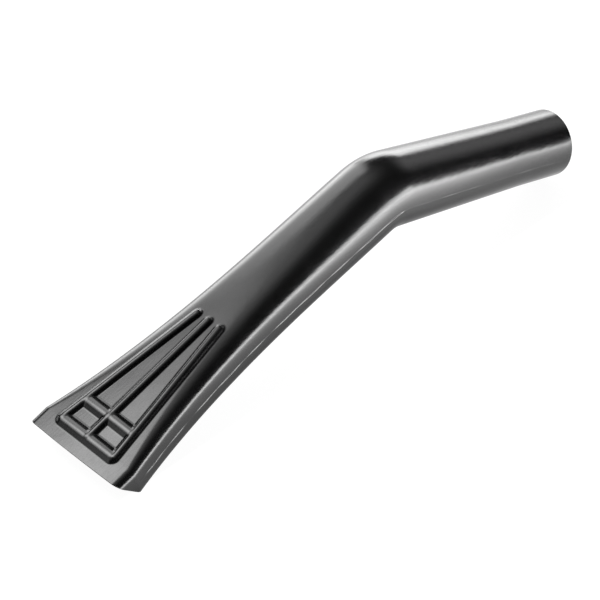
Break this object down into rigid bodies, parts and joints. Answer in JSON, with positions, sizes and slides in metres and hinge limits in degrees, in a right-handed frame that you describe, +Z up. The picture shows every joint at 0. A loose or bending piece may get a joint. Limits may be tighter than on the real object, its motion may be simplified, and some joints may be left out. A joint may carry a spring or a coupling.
{
  "type": "car vacuum nozzle",
  "caption": "Bent round tube that flattens and flares into a wide slanted slot mouth with raised ribs on its upper face; a round spigot at the other end goes into a vacuum hose cuff.",
  "frame": {"origin": "centre of the footprint's box, on the surface that the nozzle stands on", "axes": "+Z up with the ribs on top, +X along the nozzle from the mouth to the spigot, +Y across"},
  "size_m": [0.3585, 0.0718, 0.0823],
  "materials": {
    "shell": "semi-gloss black, as blow-moulded"
  },
  "bodies": {
    "root": {"nozzle": "shell"}
  },
  "joints": []
}
